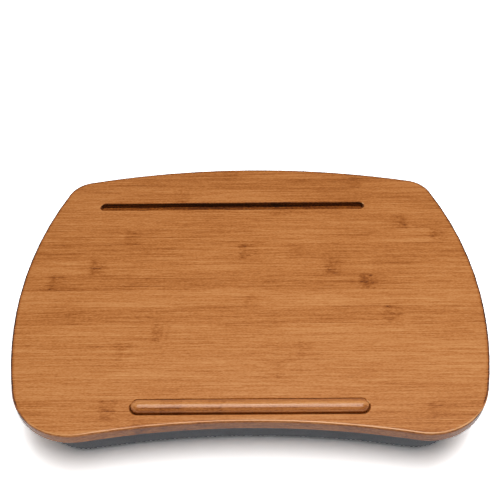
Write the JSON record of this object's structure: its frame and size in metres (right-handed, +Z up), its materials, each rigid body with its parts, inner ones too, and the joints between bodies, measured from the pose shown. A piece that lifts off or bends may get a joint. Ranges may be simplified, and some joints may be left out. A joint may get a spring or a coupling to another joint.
{
  "type": "lap desk",
  "caption": "Bowed bamboo lap board with a routed tablet slot and a front stop rail, held by hook-and-loop tapes to a grey fabric foam cushion.",
  "frame": {"origin": "on the surface that the cushion rests on, under the middle of the board's width and depth", "axes": "+X to the user's right along the board's width, +Y away from the user towards the tablet slot, +Z up"},
  "size_m": [0.43, 0.317, 0.0696],
  "materials": {
    "bamboo": "satin lacquered caramel bamboo, strips running from side to side",
    "bamboo_rail": "satin lacquered caramel bamboo moulding",
    "hook_tape": "black nylon hook tape",
    "loop_tape": "black brushed nylon loop tape",
    "cover_fabric": "charcoal woven cover fabric, matt",
    "foam": "open-cell cushion foam, hidden in the cover"
  },
  "bodies": {
    "cushion": {"cushion_base": "cover_fabric", "cushion_side": "cover_fabric", "cushion_top": "cover_fabric", "foam_core": "foam", "loop_tapes": "loop_tape"},
    "board": {"desk_board": "bamboo", "stop_rail": "bamboo_rail", "hook_tapes": "hook_tape"}
  },
  "joints": [
    {"name": "board_lift", "type": "slide", "parent": "cushion", "child": "board", "axis": [0, 0, 1], "range_m": [0, 0.08]}
  ]
}
